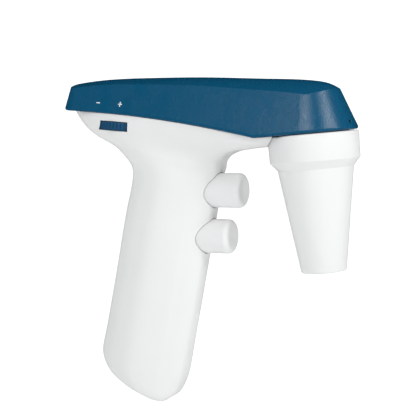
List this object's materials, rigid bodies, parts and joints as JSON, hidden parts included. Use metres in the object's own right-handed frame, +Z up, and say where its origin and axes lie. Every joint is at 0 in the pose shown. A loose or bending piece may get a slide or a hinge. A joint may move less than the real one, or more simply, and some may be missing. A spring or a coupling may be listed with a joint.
{
  "type": "motorized pipette controller",
  "caption": "Pistol-grip motorized pipette controller with raked handle, domed top cover, tapered nose cone, two push buttons and a speed thumbwheel.",
  "frame": {"origin": "centre of the pipette socket's mouth, at the lower end of the nose cone", "axes": "+Z up along the nose axis, +X away from the handle, +Y to the tool's left"},
  "size_m": [0.1473, 0.0436, 0.1635],
  "materials": {
    "cover_blue": "satin, fine moulded grain",
    "wheel_blue": "satin",
    "shell_white": "satin",
    "button_white": "satin",
    "lens_clear": "gloss",
    "lamp_green": "gloss",
    "board_green": "solder mask",
    "spring_steel": "drawn wire",
    "turned_steel": "turned",
    "seal_rubber": "matt",
    "switch_black": "matt",
    "acetal": "natural acetal",
    "plug_white": "gloss",
    "motor_can": "plated can",
    "brass_hub": "turned",
    "diaphragm_rubber": "moulded",
    "battery_wrap": "shrink sleeve",
    "foam": "foam",
    "port_steel": "plated",
    "adapter_silicone": "silicone",
    "tube_silicone": "translucent silicone",
    "filter_clear": "clear polypropylene",
    "membrane": "porous disc",
    "socket_grey": "satin",
    "screw_steel": "zinc plated"
  },
  "bodies": {
    "housing": {"top_cover": "cover_blue", "lamp_lens": "lens_clear", "status_lamp": "lamp_green", "lamp_board": "board_green", "handle_shell_right": "shell_white", "handle_shell_left": "shell_white", "aspirate_spring": "spring_steel", "dispense_spring": "spring_steel", "aspirate_switch": "switch_black", "dispense_switch": "switch_black", "aspirate_switch_lever": "spring_steel", "dispense_switch_lever": "spring_steel", "valve_block": "acetal", "button_carrier": "acetal", "speed_dial": "switch_black", "circuit_board": "board_green", "control_chip": "switch_black", "motor_plug": "plug_white", "pump_motor": "motor_can", "pump_case": "switch_black", "pump_diaphragm": "diaphragm_rubber", "pump_valve_plate": "acetal", "pump_cap": "switch_black", "battery_cell": "battery_wrap", "battery_pad_low": "foam", "battery_pad_high": "foam", "charging_port": "port_steel", "charging_board": "board_green", "pipette_adapter": "adapter_silicone", "check_valve": "acetal", "check_valve_flap": "tube_silicone", "filter_housing": "filter_clear", "filter_membrane": "membrane", "nose_socket": "socket_grey", "nose_seal": "seal_rubber", "nose_tube": "tube_silicone", "pump_inlet_tube": "tube_silicone", "pump_outlet_tube": "tube_silicone", "handle_screws": "screw_steel", "nose_screws": "screw_steel", "board_screws": "screw_steel"},
    "nose": {"nose_cone": "shell_white"},
    "aspirate_button": {"aspirate_button": "button_white", "aspirate_stem": "turned_steel", "aspirate_stem_seal": "seal_rubber"},
    "dispense_button": {"dispense_button": "button_white", "dispense_stem": "turned_steel", "dispense_stem_seal": "seal_rubber"},
    "speed_wheel": {"speed_wheel": "wheel_blue", "wheel_shaft": "turned_steel"},
    "pump_rotor": {"motor_shaft": "turned_steel", "crank": "brass_hub", "crank_bearing": "turned_steel"}
  },
  "joints": [
    {"name": "aspirate_press", "type": "slide", "parent": "housing", "child": "aspirate_button", "axis": [-0.9973, 0, 0.0732], "range_m": [0, 0.006], "stiffness_N_per_m": 250, "springref_m": -0.004, "deforming": ["aspirate_spring", "aspirate_switch_lever"]},
    {"name": "dispense_press", "type": "slide", "parent": "housing", "child": "dispense_button", "axis": [-0.9973, 0, 0.0732], "range_m": [0, 0.006], "stiffness_N_per_m": 250, "springref_m": -0.004, "deforming": ["dispense_spring", "dispense_switch_lever"]},
    {"name": "speed_turn", "type": "hinge", "parent": "housing", "child": "speed_wheel", "pos_m": [-0.0952, 0, 0.0763], "axis": [0.1495, 0, 0.9888], "range_deg": [-135, 135]},
    {"name": "nose_cone_off", "type": "slide", "parent": "housing", "child": "nose", "axis": [0, 0, -1], "range_m": [0, 0.075]},
    {"name": "pump_spin", "type": "hinge", "parent": "housing", "child": "pump_rotor", "pos_m": [-0.0464, 0, 0.078], "axis": [1, 0, 0], "continuous": true, "deforming": ["pump_diaphragm"]}
  ]
}
